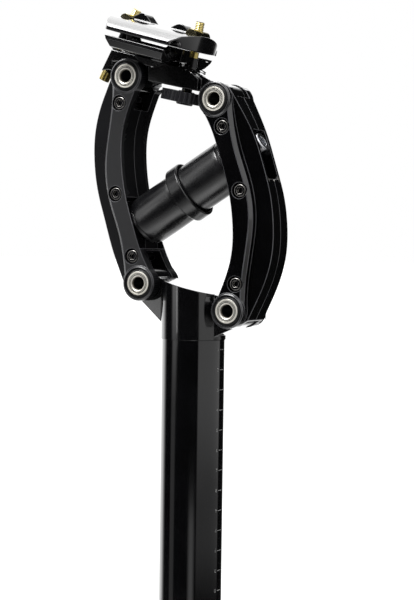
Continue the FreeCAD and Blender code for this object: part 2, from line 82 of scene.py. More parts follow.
def addNode(tree, kind, links=None, **settings):  # links: socket name -> value or another node's socket
    node = tree.nodes.new(kind)
    for name, value in settings.items():
        setattr(node, name, value)
    for name, value in (links or {}).items():
        if isinstance(value, bpy.types.NodeSocket):
            tree.links.new(value, node.inputs[name])
        else:
            node.inputs[name].default_value = value
    return node


def newMaterial(name):
    material = bpy.data.materials.new(name)
    material.use_nodes = True
    material.node_tree.nodes.clear()
    return material, material.node_tree


def setColours(ramp, stops):
    elements = ramp.color_ramp.elements
    for element, (place, colour) in zip(elements, stops):
        element.position = place
        element.color = linear(colour)
    for place, colour in stops[2:]:
        elements.new(place).color = linear(colour)


unevenMm = {
    # how wide the uneven patches in each finish are, and how long the marks of drawing run, mm
    "polish": 16.67, "drawMark": 55.56, "blasting": 22.22, "plating": 8.333, "bloom": 14.29,
}
polishedAnodise = {
    # drawMarkMm: spacing of the drawing or milling marks, drawn coarser than they are so that they show
    "tube": {"colourLow": "050506", "colourHigh": "09090B", "roughLow": 0.08, "roughHigh": 0.15,
             "drawMarkMm": 0.9, "bumpStrength": 0.04},
    "head": {"colourLow": "060607", "colourHigh": "0A0A0C", "roughLow": 0.1, "roughHigh": 0.18,
             "drawMarkMm": 1.2, "bumpStrength": 0.03},
    "link": {"colourLow": "030304", "colourHigh": "060607", "roughLow": 0.07, "roughHigh": 0.12,
             "drawMarkMm": 1.0, "bumpStrength": 0.015},
    "jaw": {"colourLow": "060607", "colourHigh": "0B0B0D", "roughLow": 0.12, "roughHigh": 0.2,
            "drawMarkMm": 0.6, "bumpStrength": 0.02},
    "saddleHead": {"colourLow": "040405", "colourHigh": "070708", "roughLow": 0.08, "roughHigh": 0.14,
                   "drawMarkMm": 1.0, "bumpStrength": 0.02},
}


def polishedBlackAnodise(name, look):
    # drawn or machined aluminium, polished and anodised black: nearly a mirror, with faint tool marks
    material, tree = newMaterial(name)
    place = addNode(tree, "ShaderNodeTexCoord")
    across, along = 1000 / look["drawMarkMm"], 1000 / unevenMm["drawMark"]
    marks = addNode(tree, "ShaderNodeMapping", {"Vector": place.outputs["Object"],
                                                "Scale": (across, across, along)})
    streaks = addNode(tree, "ShaderNodeTexNoise", {"Vector": marks.outputs[0], "Scale": 1.0, "Detail": 3.0})
    smears = addNode(tree, "ShaderNodeTexNoise", {"Vector": place.outputs["Object"],
                                                  "Scale": 1000 / unevenMm["polish"], "Detail": 4.0})
    colour = addNode(tree, "ShaderNodeValToRGB", {"Fac": smears.outputs["Fac"]})
    setColours(colour, [(0.35, look["colourLow"]), (0.7, look["colourHigh"])])
    rough = addNode(tree, "ShaderNodeMapRange", {
        "Value": smears.outputs["Fac"], "From Min": 0.3, "From Max": 0.7,
        "To Min": look["roughLow"], "To Max": look["roughHigh"]})
    bump = addNode(tree, "ShaderNodeBump", {
        "Height": streaks.outputs["Fac"], "Strength": look["bumpStrength"], "Distance": mm(0.02)})
    shader = addNode(tree, "ShaderNodeBsdfPrincipled", {
        "Base Color": colour.outputs["Color"], "Roughness": rough.outputs[0], "Normal": bump.outputs[0],
        "IOR": 1.6, "Coat Weight": 1.0, "Coat Roughness": 0.04, "Coat IOR": 1.5})
    addNode(tree, "ShaderNodeOutputMaterial", {"Surface": shader.outputs[0]})
    return material


blastedAnodise = {
    # gritMm: blasting grit, drawn coarser than it is so that it shows
    # painted light: the rear link is the same part as the front one, made lighter and satin here for the light its
    # flat side catches
    "rearLink": {"colourLow": "101012", "colourHigh": "17171A", "roughness": 0.3, "gritMm": 0.22,
                 "bumpStrength": 0.06},
    # painted shade: darker and with less shine, for the spine's sunk sides beside the plate
    "recessShade": {"colourLow": "0E0E10", "colourHigh": "141416", "roughness": 0.3, "gritMm": 0.22,
               "bumpStrength": 0.06, "shine": 0.1},
    # the lighter grey on the links' rounded edges is partly rubbed anodise and partly a painted highlight
    "edge": {"colourLow": "3A3A3D", "colourHigh": "5A5A5D", "roughness": 0.3, "gritMm": 0.3,
             "bumpStrength": 0.05},
    "wheel": {"colourLow": "121215", "colourHigh": "1F1F23", "roughness": 0.3, "gritMm": 0.25,
              "bumpStrength": 0.1},
}


def blastedBlackAnodise(name, look):
    # forged aluminium, bead blasted and anodised black: a soft even sheen over a fine grain
    material, tree = newMaterial(name)
    place = addNode(tree, "ShaderNodeTexCoord")
    grit = addNode(tree, "ShaderNodeTexNoise", {"Vector": place.outputs["Object"],
                                                "Scale": 1000 / look["gritMm"], "Detail": 2.0})
    clouds = addNode(tree, "ShaderNodeTexNoise", {"Vector": place.outputs["Object"],
                                                  "Scale": 1000 / unevenMm["blasting"], "Detail": 5.0})
    colour = addNode(tree, "ShaderNodeValToRGB", {"Fac": clouds.outputs["Fac"]})
    setColours(colour, [(0.35, look["colourLow"]), (0.68, look["colourHigh"])])
    rough = addNode(tree, "ShaderNodeMapRange", {
        "Value": clouds.outputs["Fac"], "From Min": 0.3, "From Max": 0.7,
        "To Min": look["roughness"] - 0.05, "To Max": look["roughness"] + 0.06})
    bump = addNode(tree, "ShaderNodeBump", {"Height": grit.outputs["Fac"], "Strength": look["bumpStrength"],
                                            "Distance": mm(0.03)})
    shader = addNode(tree, "ShaderNodeBsdfPrincipled", {
        "Base Color": colour.outputs["Color"], "Roughness": rough.outputs[0], "Normal": bump.outputs[0],
        "IOR": 1.55, "Specular IOR Level": look.get("shine", 0.5)})
    addNode(tree, "ShaderNodeOutputMaterial", {"Surface": shader.outputs[0]})
    return material


metalLooks = {
    # turnMm: spacing of the tool marks, drawn coarser than they are so that they show
    "champagne": {"low": "D2CEC3", "high": "F0EDE5", "roughness": 0.4, "turnMm": 0.25, "metallic": 0.5},
    # painted shade: a darkened copy of the champagne for the cone at the bore's mouth
    "boreShade": {"low": "6E6960", "high": "8E887D", "roughness": 0.4, "turnMm": 0.25, "metallic": 0.7},
    "gold": {"low": "D8BE62", "high": "F4E6A8", "roughness": 0.26, "turnMm": 0.3},
    "bright": {"low": "B9BBBF", "high": "E6E7EA", "roughness": 0.2, "turnMm": 0.3},
    "nut": {"low": "8C8566", "high": "BDB593", "roughness": 0.16, "turnMm": 0.3},
    "blackOxide": {"low": "19191B", "high": "2C2C30", "roughness": 0.3, "turnMm": 0.25},
    # light steel on the screw heads' rounded edges, partly wear and partly a painted highlight ring; on the front
    # link's slot foot a painted highlight
    "wornEdgeAndHighlight": {"low": "7C7A77", "high": "B5B2AD", "roughness": 0.3, "turnMm": 0.25},
}


def turnedMetal(name, look):
    # metal turned on a lathe: fine tool marks and a slightly uneven tone
    material, tree = newMaterial(name)
    place = addNode(tree, "ShaderNodeTexCoord")
    marks = addNode(tree, "ShaderNodeTexNoise", {
        "Vector": place.outputs["Object"], "Scale": 1000 / look["turnMm"], "Detail": 2.0, "Distortion": 0.4})
    clouds = addNode(tree, "ShaderNodeTexNoise", {"Vector": place.outputs["Object"],
                                                  "Scale": 1000 / unevenMm["plating"], "Detail": 3.0})
    colour = addNode(tree, "ShaderNodeValToRGB", {"Fac": clouds.outputs["Fac"]})
    setColours(colour, [(0.3, look["low"]), (0.72, look["high"])])
    rough = addNode(tree, "ShaderNodeMapRange", {
        "Value": marks.outputs["Fac"], "From Min": 0.3, "From Max": 0.7,
        "To Min": look["roughness"] - 0.06, "To Max": look["roughness"] + 0.08})
    bump = addNode(tree, "ShaderNodeBump", {"Height": marks.outputs["Fac"], "Strength": 0.12,
                                            "Distance": mm(0.02)})
    shader = addNode(tree, "ShaderNodeBsdfPrincipled", {
        "Base Color": colour.outputs["Color"], "Roughness": rough.outputs[0], "Normal": bump.outputs[0],
        "Metallic": look.get("metallic", 1.0)})
    addNode(tree, "ShaderNodeOutputMaterial", {"Surface": shader.outputs[0]})
    return material


rubberLooks = {
    # grainMm: grain of the mould's skin, drawn coarser than it is so that it shows
    "elastomer": {"low": "0A0A0C", "high": "131315", "roughness": 0.24, "grainMm": 0.35, "shine": 1.0},
    "seal": {"low": "080809", "high": "0E0E0F", "roughness": 0.5, "grainMm": 0.3},
    "cap": {"low": "0A0A0C", "high": "111113", "roughness": 0.24, "grainMm": 0.3, "shine": 0.8},
}


def mouldedRubber(name, look):
    # moulded polyurethane, nylon or rubber: a soft sheen, uneven where it has bloomed
    material, tree = newMaterial(name)
    place = addNode(tree, "ShaderNodeTexCoord")
    grain = addNode(tree, "ShaderNodeTexNoise", {"Vector": place.outputs["Object"],
                                                 "Scale": 1000 / look["grainMm"], "Detail": 3.0})
    bloom = addNode(tree, "ShaderNodeTexNoise", {"Vector": place.outputs["Object"],
                                                 "Scale": 1000 / unevenMm["bloom"], "Detail": 4.0})
    colour = addNode(tree, "ShaderNodeValToRGB", {"Fac": bloom.outputs["Fac"]})
    setColours(colour, [(0.32, look["low"]), (0.7, look["high"])])
    rough = addNode(tree, "ShaderNodeMapRange", {
        "Value": bloom.outputs["Fac"], "From Min": 0.3, "From Max": 0.7,
        "To Min": look["roughness"] - 0.06, "To Max": look["roughness"] + 0.08})
    bump = addNode(tree, "ShaderNodeBump", {"Height": grain.outputs["Fac"], "Strength": 0.18,
                                            "Distance": mm(0.03)})
    shader = addNode(tree, "ShaderNodeBsdfPrincipled", {
        "Base Color": colour.outputs["Color"], "Roughness": rough.outputs[0], "Normal": bump.outputs[0],
        "IOR": 1.5, "Specular IOR Level": look.get("shine", 0.5)})
    addNode(tree, "ShaderNodeOutputMaterial", {"Surface": shader.outputs[0]})
    return material


finishes = {
    "gloss_black": polishedBlackAnodise("Polished black anodised tube", polishedAnodise["tube"]),
    "satin_black": polishedBlackAnodise("Polished black anodised forging", polishedAnodise["saddleHead"]),
    "anodised_black": polishedBlackAnodise("Polished black anodised link", polishedAnodise["link"]),
    "black_steel": turnedMetal("Black oxide steel", metalLooks["blackOxide"]),
    "champagne_alloy": turnedMetal("Champagne anodised ring", metalLooks["champagne"]),
    "seal_rubber": mouldedRubber("Nitrile seal", rubberLooks["seal"]),
    "elastomer": mouldedRubber("Polyurethane elastomer", rubberLooks["elastomer"]),
    "cap_polymer": mouldedRubber("Glass filled nylon", rubberLooks["cap"]),
    "bright_steel": turnedMetal("Bright zinc plated steel", metalLooks["bright"]),
    "jaw_alloy": polishedBlackAnodise("Machined black anodised jaw", polishedAnodise["jaw"]),
    "gold_steel": turnedMetal("Yellow zinc plated steel", metalLooks["gold"]),
    "nut_steel": turnedMetal("Polished zinc plated steel", metalLooks["nut"]),
    "wheel_alloy": blastedBlackAnodise("Blasted black anodised wheel", blastedAnodise["wheel"]),
}
postHeadFinish = polishedBlackAnodise("Polished black anodised head", polishedAnodise["head"])
# painted light: a lighter satin copy of the links' black anodise, for the rear link
rearLinkLitFinish = blastedBlackAnodise("Black link lightened as painted light", blastedAnodise["rearLink"])
wornEdgeAndHighlightFinish = turnedMetal("Worn steel edge and painted highlight", metalLooks["wornEdgeAndHighlight"])
recessShadeFinish = blastedBlackAnodise("Black anodised recess with painted shade", blastedAnodise["recessShade"])
rubbedEdgeAndHighlightFinish = blastedBlackAnodise("Rubbed edge and painted highlight", blastedAnodise["edge"])
boreShadeFinish = turnedMetal("Champagne darkened as painted bore shade", metalLooks["boreShade"])
for node, cadObject in cadNodes.items():
    cadObject.data.materials.clear()
    cadObject.data.materials.append(finishes[slotOfNode[node]])
print("finishes ready")


shaping = {
    "joinWithin": 0.002,    # mm; corners of a CAD node's triangles that are one
    "flatWithin": 0.2,      # degrees; triangles that make one flat face
    "closeWithin": 0.001,   # mm; the seam and poles of a spun shape, and the line of a cut
    "smoothBelow": 32,      # degrees; joins that are shaded smooth
}
edgeMaterial, patchMaterial = 1, 2      # where a piece keeps its second and third finish


def nodeShell(node):    # a joined-up copy of a CAD node, with its flat faces made whole
    shell = bmesh.new()
    shell.from_mesh(cadNodes[node].data)
    bmesh.ops.remove_doubles(shell, verts=shell.verts, dist=mm(shaping["joinWithin"]))
    bmesh.ops.dissolve_limit(shell, angle_limit=math.radians(shaping["flatWithin"]), verts=shell.verts,
                             edges=shell.edges)
    return shell


def roundEdges(shell, width, segments=2, sharperThan=28, material=-1, chosen=None):
    # width: mm; sharperThan: degrees; chosen: tells from an edge's middle whether it is rounded
    edges = [edge for edge in shell.edges
             if edge.is_manifold and edge.calc_face_angle(0) > math.radians(sharperThan)
             and (chosen is None or chosen((edge.verts[0].co + edge.verts[1].co) / 2))]
    bmesh.ops.bevel(shell, geom=edges, offset=mm(width), affect="EDGES", segments=segments, profile=0.5,
                    clamp_overlap=False, material=material)


def makePiece(name, shell, finish, node, replaced=None):
    # finish: a slot's name or a material; the piece rides with the node's body
    mesh = bpy.data.meshes.new(name)
    shell.to_mesh(mesh)
    shell.free()
    mesh.materials.append(finishes[finish] if isinstance(finish, str) else finish)
    for face in mesh.polygons:
        face.use_smooth = True
    mesh.set_sharp_from_angle(angle=math.radians(shaping["smoothBelow"]))
    piece = bpy.data.objects.new(name, mesh)
    bpy.context.collection.objects.link(piece)
    even = piece.modifiers.new("even normals", "WEIGHTED_NORMAL")
    even.keep_sharp = True
    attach(piece, bodyOfNode[node])
    if replaced:
        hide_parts(*replaced)
    return piece


def softened(node, name, width, finish=None, edgeWearAndHighlight=None, first=None):
    # width: how far its edges are rounded, mm; the edge finish: the material on them, lighter, which stands partly
    # for wear and partly for a painted highlight
    # first: a function that works on the shell before its edges are rounded
    shell = nodeShell(node)
    if first:
        first(shell)
    roundEdges(shell, width, material=edgeMaterial if edgeWearAndHighlight else -1)
    piece = makePiece(name, shell, finish or slotOfNode[node], node, [node])
    if edgeWearAndHighlight:
        piece.data.materials.append(edgeWearAndHighlight)
    return piece


def lathe(profile, start, along, segments=96):
    # profile: (radius, distance) in mm, spun about a line from start; a closed loop in section
    shell = bmesh.new()
    verts = [shell.verts.new((mm(radius), 0, mm(height))) for radius, height in profile]
    edges = [shell.edges.new((a, b)) for a, b in zip(verts, verts[1:] + verts[:1])]
    bmesh.ops.spin(shell, geom=verts + edges, axis=(0, 0, 1), cent=(0, 0, 0), angle=math.tau, steps=segments,
                   use_merge=True)
    bmesh.ops.remove_doubles(shell, verts=shell.verts, dist=mm(shaping["closeWithin"]))
    bmesh.ops.recalc_face_normals(shell, faces=shell.faces)
    moveTo(shell, start, along)
    return shell


def moveTo(shell, start, along):
    turn = Vector((0, 0, 1)).rotation_difference(Vector(along)).to_matrix().to_4x4()
    bmesh.ops.transform(shell, matrix=Matrix.Translation(Vector(start)) @ turn, verts=shell.verts)


def cutAcross(shell, point, along, outer):
    # outer: True takes away what is ahead of the cut, False what is behind it; the open end is filled
    bmesh.ops.bisect_plane(shell, geom=shell.verts[:] + shell.edges[:] + shell.faces[:],
                           dist=mm(shaping["closeWithin"]), plane_co=point, plane_no=along, clear_outer=outer,
                           clear_inner=not outer)
    bmesh.ops.holes_fill(shell, edges=[edge for edge in shell.edges if edge.is_boundary])


def joinShells(shells):
    whole = shells[0]
    for other in shells[1:]:
        mesh = bpy.data.meshes.new("part")
        other.to_mesh(mesh)
        other.free()
        whole.from_mesh(mesh)
        bpy.data.meshes.remove(mesh)
    return whole


def jointNamed(name):
    return [joint for joint in frame["joints"] if joint["name"] == name][0]


softened("base_head", "postHead", width=0.35, finish=postHeadFinish)
scale = {
    "firstMark": -4.6, "spacing": 10.0,     # mm; its height, and the step down the tube
    "marks": 21, "firstNumber": 1,
    "markFrom": -6.0, "markTo": 8.0, "numberMiddle": -12.0,     # degrees round from the tube's front line
    "lineWidth": 0.3, "numberHeight": 1.7, "thick": 0.03,       # mm
    "fontSize": 1.4,        # for each mm of a number's height
    "pairNarrowing": 0.6,   # a number of two digits is squeezed to this
    "bends": 6,             # where a mark bends round the tube
    "inkLow": "6A6A6A", "inkHigh": "A8A8A7", "wearMm": 1.111,
}


def printedInk():
    # pad-printed ink: thin, matt and a little worn
    material, tree = newMaterial("Pale pad printed ink")
    place = addNode(tree, "ShaderNodeTexCoord")
    wear = addNode(tree, "ShaderNodeTexNoise", {"Vector": place.outputs["Object"],
                                                "Scale": 1000 / scale["wearMm"], "Detail": 3.0})
    colour = addNode(tree, "ShaderNodeValToRGB", {"Fac": wear.outputs["Fac"]})
    setColours(colour, [(0.3, scale["inkLow"]), (0.6, scale["inkHigh"])])
    shader = addNode(tree, "ShaderNodeBsdfPrincipled", {"Base Color": colour.outputs["Color"],
                                                        "Roughness": 0.5})
    addNode(tree, "ShaderNodeOutputMaterial", {"Surface": shader.outputs[0]})
    return material


def wrapOnPost(shell, radius):  # x runs round the tube, from its front line
    for vert in shell.verts:
        angle = vert.co.x / mm(radius)
        reach = mm(radius) + vert.co.y
        vert.co = Vector((reach * math.cos(angle), reach * math.sin(angle), vert.co.z))


def makeScale():
    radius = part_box("post_tube")[1].x * 1000
    perDegree = radius * math.pi / 180
    upright = Matrix.Rotation(math.radians(90), 4, "X")
    shell = bmesh.new()
    for k in range(scale["marks"]):
        height = scale["firstMark"] - scale["spacing"] * k
        line = bmesh.ops.create_grid(shell, x_segments=scale["bends"], y_segments=1, size=0.5)["verts"]
        width = (scale["markTo"] - scale["markFrom"]) * perDegree
        middle = (scale["markTo"] + scale["markFrom"]) / 2 * perDegree
        bmesh.ops.scale(shell, vec=(mm(width), mm(scale["lineWidth"]), 1), verts=line)
        bmesh.ops.rotate(shell, matrix=upright.to_3x3(), verts=line)
        bmesh.ops.translate(shell, vec=(mm(middle), mm(scale["thick"]), mm(height)), verts=line)
        text = bpy.data.curves.new("number", "FONT")
        text.body = str(scale["firstNumber"] + k)
        text.size = mm(scale["numberHeight"] * scale["fontSize"])
        text.align_x = "CENTER"
        text.align_y = "CENTER"
        holder = bpy.data.objects.new("number", text)
        mesh = bpy.data.meshes.new_from_object(holder)
        narrow = scale["pairNarrowing"] if len(text.body) > 1 else 1
        place = Matrix.Translation((mm(scale["numberMiddle"] * perDegree), mm(scale["thick"]), mm(height)))
        mesh.transform(place @ upright @ Matrix.Diagonal((narrow, 1, 1, 1)))
        shell.from_mesh(mesh)
        bpy.data.objects.remove(holder)
        bpy.data.curves.remove(text)
        bpy.data.meshes.remove(mesh)
    bmesh.ops.solidify(shell, geom=shell.faces[:], thickness=mm(scale["thick"]))
    wrapOnPost(shell, radius)
    bmesh.ops.reverse_faces(shell, faces=shell.faces)       # wrapping them round the post mirrored them
    makePiece("depthScale", shell, printedInk(), "post_tube")


makeScale()
print("post ready")


linkLook = {
    "edge": 0.3, "screwEdge": 0.22,     # how far edges are rounded, mm as all of these
    "recessShadeWithin": 10.0,       # of the middle plane; the spine's sides are sunk beside the plate, and faces this near get painted shade
    "slotFoot": 79.8, "slotWithin": 0.1, "slotBeyond": 42.0,    # height and reach of the preload bolt's slot
    "slotRound": 1.8, "slotSegments": 6,
}


# the rounded foot of the preload bolt's slot takes the third finish, light steel as a painted highlight
def scoopSlot(shell):
    def atFoot(point):
        return (point.x > mm(linkLook["slotBeyond"])
                and abs(point.z - mm(linkLook["slotFoot"])) < mm(linkLook["slotWithin"]))

    roundEdges(shell, linkLook["slotRound"], linkLook["slotSegments"], material=patchMaterial, chosen=atFoot)


# painted shade: faces near the middle plane take the darker, duller third finish
def shadeRecess(shell):
    for face in shell.faces:
        if abs(face.calc_center_median().y) < mm(linkLook["recessShadeWithin"]):
            face.material_index = patchMaterial


for end, finish, patch, first in (("rear", rearLinkLitFinish, recessShadeFinish, shadeRecess),
                                  ("front", None, wornEdgeAndHighlightFinish, scoopSlot)):
    for side in ("near", "far"):
        link = softened(end + "_link_" + side, end + "Link" + side.capitalize(), linkLook["edge"], finish,
                        edgeWearAndHighlight=rubbedEdgeAndHighlightFinish, first=first)
        link.data.materials.append(patch)
    for number in ("1", "2", "3"):
        softened(end + "_link_screw_" + number, end + "LinkScrew" + number, linkLook["screwEdge"],
                 edgeWearAndHighlight=wornEdgeAndHighlightFinish)
pivotLook = {
    # mm; depths are inwards from the hub's end
    "bore": 3.4, "boreChamfer": 0.3, "hubRadius": 5.0, "edge": 0.15,
    "grooveRadius": 4.3, "grooveWidth": 0.38, "grooveDepth": 0.5,
    "linerBore": 3.0, "linerEdge": 0.05, "mouthDepth": 1.2,
    "clipSunk": 0.12, "gapWidth": 0.3,      # clips sit in the groove and in the gap round the hub's end
    "ringRadius": 5.95, "runningGap": 0.04,
    "lipTop": 0.3, "lipSlope": 7.3, "lipFoot": 0.8, "sealRadius": 7.6, "sealDepth": 1.1,
}


def makePivot(corner):
    look = pivotLook
    low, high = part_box(corner + "_axle")
    x, z = (low.x + high.x) / 2, (low.z + high.z) / 2
    reach = high.y * 1000
    nearEnd, across = (x, -mm(reach), z), (0, 1, 0)
    deep, edge = look["grooveDepth"], look["edge"]
    mouth, bottom = look["boreChamfer"] + edge, look["mouthDepth"]
    groove = (look["grooveRadius"] - look["grooveWidth"] / 2, look["grooveRadius"] + look["grooveWidth"] / 2)
    gap = (look["hubRadius"] - look["gapWidth"], look["hubRadius"])
    end = [(look["bore"], mouth), (look["bore"] + look["boreChamfer"], edge),
           (groove[0], 0), (groove[0], deep), (groove[1], deep), (groove[1], 0),
           (gap[0], 0), (gap[0], deep), (gap[1], deep)]
    otherEnd = [(radius, 2 * reach - depth) for radius, depth in reversed(end)]
    makePiece(corner + "Hub", lathe(end + otherEnd, nearEnd, across), "champagne_alloy", corner + "_axle",
              [corner + "_axle"])
    # painted shade: a dark rubber tube lines the bore past its mouth; the clips are dark rubber in the grooves
    tube = [(look["linerBore"], bottom), (look["bore"], bottom), (look["bore"], 2 * reach - bottom),
            (look["linerBore"], 2 * reach - bottom)]
    clipsAndBoreShade = [lathe(tube, nearEnd, across)]
    for side, sign in (("Near", 1), ("Far", -1)):
        face, inwards = (x, -mm(reach) * sign, z), (0, sign, 0)
        cone = [(look["linerBore"], bottom), (look["bore"] - look["linerEdge"], mouth), (look["bore"], mouth),
                (look["bore"], bottom)]
        makePiece(corner + "Liner" + side, lathe(cone, face, inwards), boreShadeFinish, corner + "_axle")
        for inner, outer in (groove, gap):
            clip = [(inner, look["clipSunk"]), (outer, look["clipSunk"]), (outer, deep), (inner, deep)]
            clipsAndBoreShade.append(lathe(clip, face, inwards))
    makePiece(corner + "ClipsAndBoreShade", joinShells(clipsAndBoreShade), "seal_rubber", corner + "_axle")
    for side, sign in (("near", 1), ("far", -1)):
        face, inwards = (x, -mm(reach) * sign, z), (0, sign, 0)
        ring, seal = corner + "_bushing_" + side, corner + "_seal_" + side
        length = (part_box(ring)[1].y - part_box(ring)[0].y) * 1000
        inner = look["hubRadius"] + look["runningGap"]
        bush = [(inner, edge), (inner + edge, 0), (look["ringRadius"] - edge, 0), (look["ringRadius"], edge),
                (look["ringRadius"], length), (inner, length)]
        makePiece(corner + "Ring" + side.capitalize(), lathe(bush, face, inwards), "champagne_alloy",
                  ring, [ring])
        lip = [(look["ringRadius"], look["lipTop"]), (look["ringRadius"] + 2 * edge, look["lipTop"]),
               (look["lipSlope"], look["lipFoot"]), (look["sealRadius"], look["lipFoot"] + edge),
               (look["sealRadius"], look["sealDepth"]), (look["ringRadius"], look["sealDepth"])]
        makePiece(corner + "Seal" + side.capitalize(), lathe(lip, face, inwards), "seal_rubber",
                  seal, [seal])


for corner in ("lower_rear", "lower_front", "upper_rear", "upper_front"):
    makePivot(corner)
print("links ready")


stackAxis = Vector(jointNamed("collar_slide")["axis"]).normalized()
rearSeat = Vector(jointNamed("stack_rear_seat")["pos_m"])
frontSeat = Vector(jointNamed("stack_front_seat")["pos_m"])
elastomer = {
    "radius": 12.7, "bore": 5.0, "barrel": 0.18, "endRound": 0.7,      # mm, as all of these
    "rim": [(0.5, 0.03), (0.16, 0.22)],     # in from the side, up from the end
    "disc": 1.6, "rearLength": 24.15, "frontLength": 27.35, "collarTravel": 14.2,
    "rows": 12, "sides": 112,       # a fine mesh
}
stackFittings = {
    # node: (piece, how far its edges are rounded in mm)
    "stack_collar": ("stackCollar", 0.2),
    "rear_seat_cap": ("rearSeatCap", 0.2),
    "front_seat_cap": ("frontSeatCap", 0.2),
    "preload_bolt": ("preloadBolt", 0.2),
    "preload_nut": ("preloadNut", 0.25),
}


def makeElastomer(node, name, seat, along, length):
    look = elastomer
    sideWall = []
    for k in range(look["rows"] + 1):
        share = k / look["rows"]
        swell = look["barrel"] * math.sin(math.pi * share)
        height = look["endRound"] + (length - 2 * look["endRound"]) * share
        sideWall.append((look["radius"] - look["barrel"] + swell, height))
    curve = [(look["radius"] - look["barrel"] - inward, up) for inward, up in look["rim"]]
    profile = [(look["bore"], 0)] + curve + sideWall
    profile += [(radius, length - height) for radius, height in reversed(curve)] + [(look["bore"], length)]
    start = seat + along * mm(look["disc"])
    pad = makePiece(name, lathe(profile, start, along, look["sides"]), "elastomer", node, [node])
    pad.modifiers.clear()
    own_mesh(pad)


makeElastomer("rear_elastomer", "rearElastomer", rearSeat, stackAxis, elastomer["rearLength"])
makeElastomer("front_elastomer", "frontElastomer", frontSeat, -stackAxis, elastomer["frontLength"])
for node, (name, width) in stackFittings.items():
    softened(node, name, width)
print("stack ready")


softened("saddle_head", "saddleHead", width=0.4)
softened("lower_jaw", "lowerJaw", width=0.25)
upperJaw = {
    "crownFrom": -4.5,      # mm over the barrel nuts' middles, where the full edges of the crown begin
    "crownRound": 0.5, "crownSegments": 3, "footRound": 0.2,        # mm
    "footSharperThan": 40,      # degrees
}


def middleOf(node):
    low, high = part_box(node)
    return (low + high) / 2


def makeUpperJaw():
    rear, front = middleOf("rear_barrel_nut"), middleOf("front_barrel_nut")
    upright = Vector((0, 1, 0)).cross((front - rear).normalized())

    def onCrown(point):
        return (point - rear).dot(upright) > mm(upperJaw["crownFrom"])

    shell = nodeShell("upper_jaw")
    roundEdges(shell, upperJaw["crownRound"], upperJaw["crownSegments"], chosen=onCrown)
    roundEdges(shell, upperJaw["footRound"], sharperThan=upperJaw["footSharperThan"],
               chosen=lambda point: not onCrown(point))
    makePiece("upperJaw", shell, "jaw_alloy", "upper_jaw", ["upper_jaw"])


makeUpperJaw()
for node, name in (("rear_barrel_nut", "rearBarrelNut"), ("front_barrel_nut", "frontBarrelNut"),
                   ("rear_bolt_sleeve", "rearBoltSleeve")):
    softened(node, name, width=0.25)
boltLook = {
    "threadRadius": 2.3, "pitch": 0.8, "threadDepth": 0.48, "edge": 0.2,        # mm
    "threadFrom": 2.9,      # mm past the nut's middle, just inside its skin
    "ridge": [(1, 0), (0, 0.4), (0, 0.55), (1, 0.95), (1, 1)],      # shares of the depth and of the pitch
    "turnSegments": 24,
    "joinWithin": 0.01,     # mm; the foot of one turn and that of the next
}


def threadedEnd(start, along, length):
    # the thread's ridge, spun up the bolt one pitch a turn and cut off square at both ends
    look = boltLook
    steps, turns = look["turnSegments"], math.ceil(length / look["pitch"]) + 2
    shell = bmesh.new()
    verts = [shell.verts.new((mm(look["threadRadius"] - look["threadDepth"] * sunk), 0,
                              mm(look["pitch"] * (share - 1)))) for sunk, share in look["ridge"]]
    edges = [shell.edges.new((a, b)) for a, b in zip(verts, verts[1:])]
    bmesh.ops.spin(shell, geom=verts + edges, axis=(0, 0, 1), cent=(0, 0, 0),
                   dvec=(0, 0, mm(look["pitch"] / steps)), angle=math.tau * turns, steps=steps * turns)
    bmesh.ops.remove_doubles(shell, verts=shell.verts, dist=mm(look["joinWithin"]))
    for height, outer in ((0, False), (mm(length), True)):
        cutAcross(shell, (0, 0, height), (0, 0, 1), outer)
    bmesh.ops.recalc_face_normals(shell, faces=shell.faces)
    moveTo(shell, start, along)
    return shell


def makeClampBolt(node, name, nutNode, aim, trimmedBelow=None):
    # the plain shank stops inside the barrel nut and a real helical thread stands out of it
    nut = middleOf(nutNode)
    cutAt = Vector((nut.x, 0, nut.z)) + aim * mm(boltLook["threadFrom"])
    shell = nodeShell(node)
    length = max((vert.co - cutAt).dot(aim) for vert in shell.verts) * 1000
    cutAcross(shell, cutAt, aim, True)
    if trimmedBelow is not None:
        cutAcross(shell, trimmedBelow, aim, False)
    roundEdges(shell, boltLook["edge"])
    thread = threadedEnd(cutAt, aim, length)
    makePiece(name, joinShells([shell, thread]), "gold_steel", node, [node])


rearAim = Vector(jointNamed("rear_bolt_slide")["axis"]).normalized()
frontAim = Vector(jointNamed("tilt_wheel_turn")["axis"]).normalized()
makeClampBolt("rear_clamp_bolt", "rearClampBolt", "rear_barrel_nut", rearAim)
wheelLook = {
    # mm; the hub hides the bolt's lower end
    "edge": 0.12, "hubRadius": 4.2, "hubBore": 2.35, "chamfer": 0.4, "above": 0.4, "below": 1.05,
    "floor": 0.2, "boltFrom": 0.3,      # up from the wheel's foot
    "pole": 0.001,      # merged, so that the hub's floor is closed
    "sides": 48,
}


def makeWheel():
    look = wheelLook
    shell = nodeShell("tilt_wheel")
    heights = [vert.co.dot(frontAim) for vert in shell.verts]
    roundEdges(shell, look["edge"])
    axisPoint = Vector(jointNamed("tilt_wheel_turn")["pos_m"])
    foot = axisPoint + frontAim * (min(heights) - axisPoint.dot(frontAim))
    chamfer, radius, bore = look["chamfer"], look["hubRadius"], look["hubBore"]
    base, top = -look["below"], (max(heights) - min(heights)) * 1000 + look["above"]
    hub = [(look["pole"], base), (radius - chamfer, base), (radius, base + chamfer), (radius, top - chamfer),
           (radius - chamfer, top), (bore, top), (bore, look["floor"]), (look["pole"], look["floor"])]
    makePiece("tiltWheel", joinShells([shell, lathe(hub, foot, frontAim, look["sides"])]), "wheel_alloy",
              "tilt_wheel", ["tilt_wheel"])
    return foot


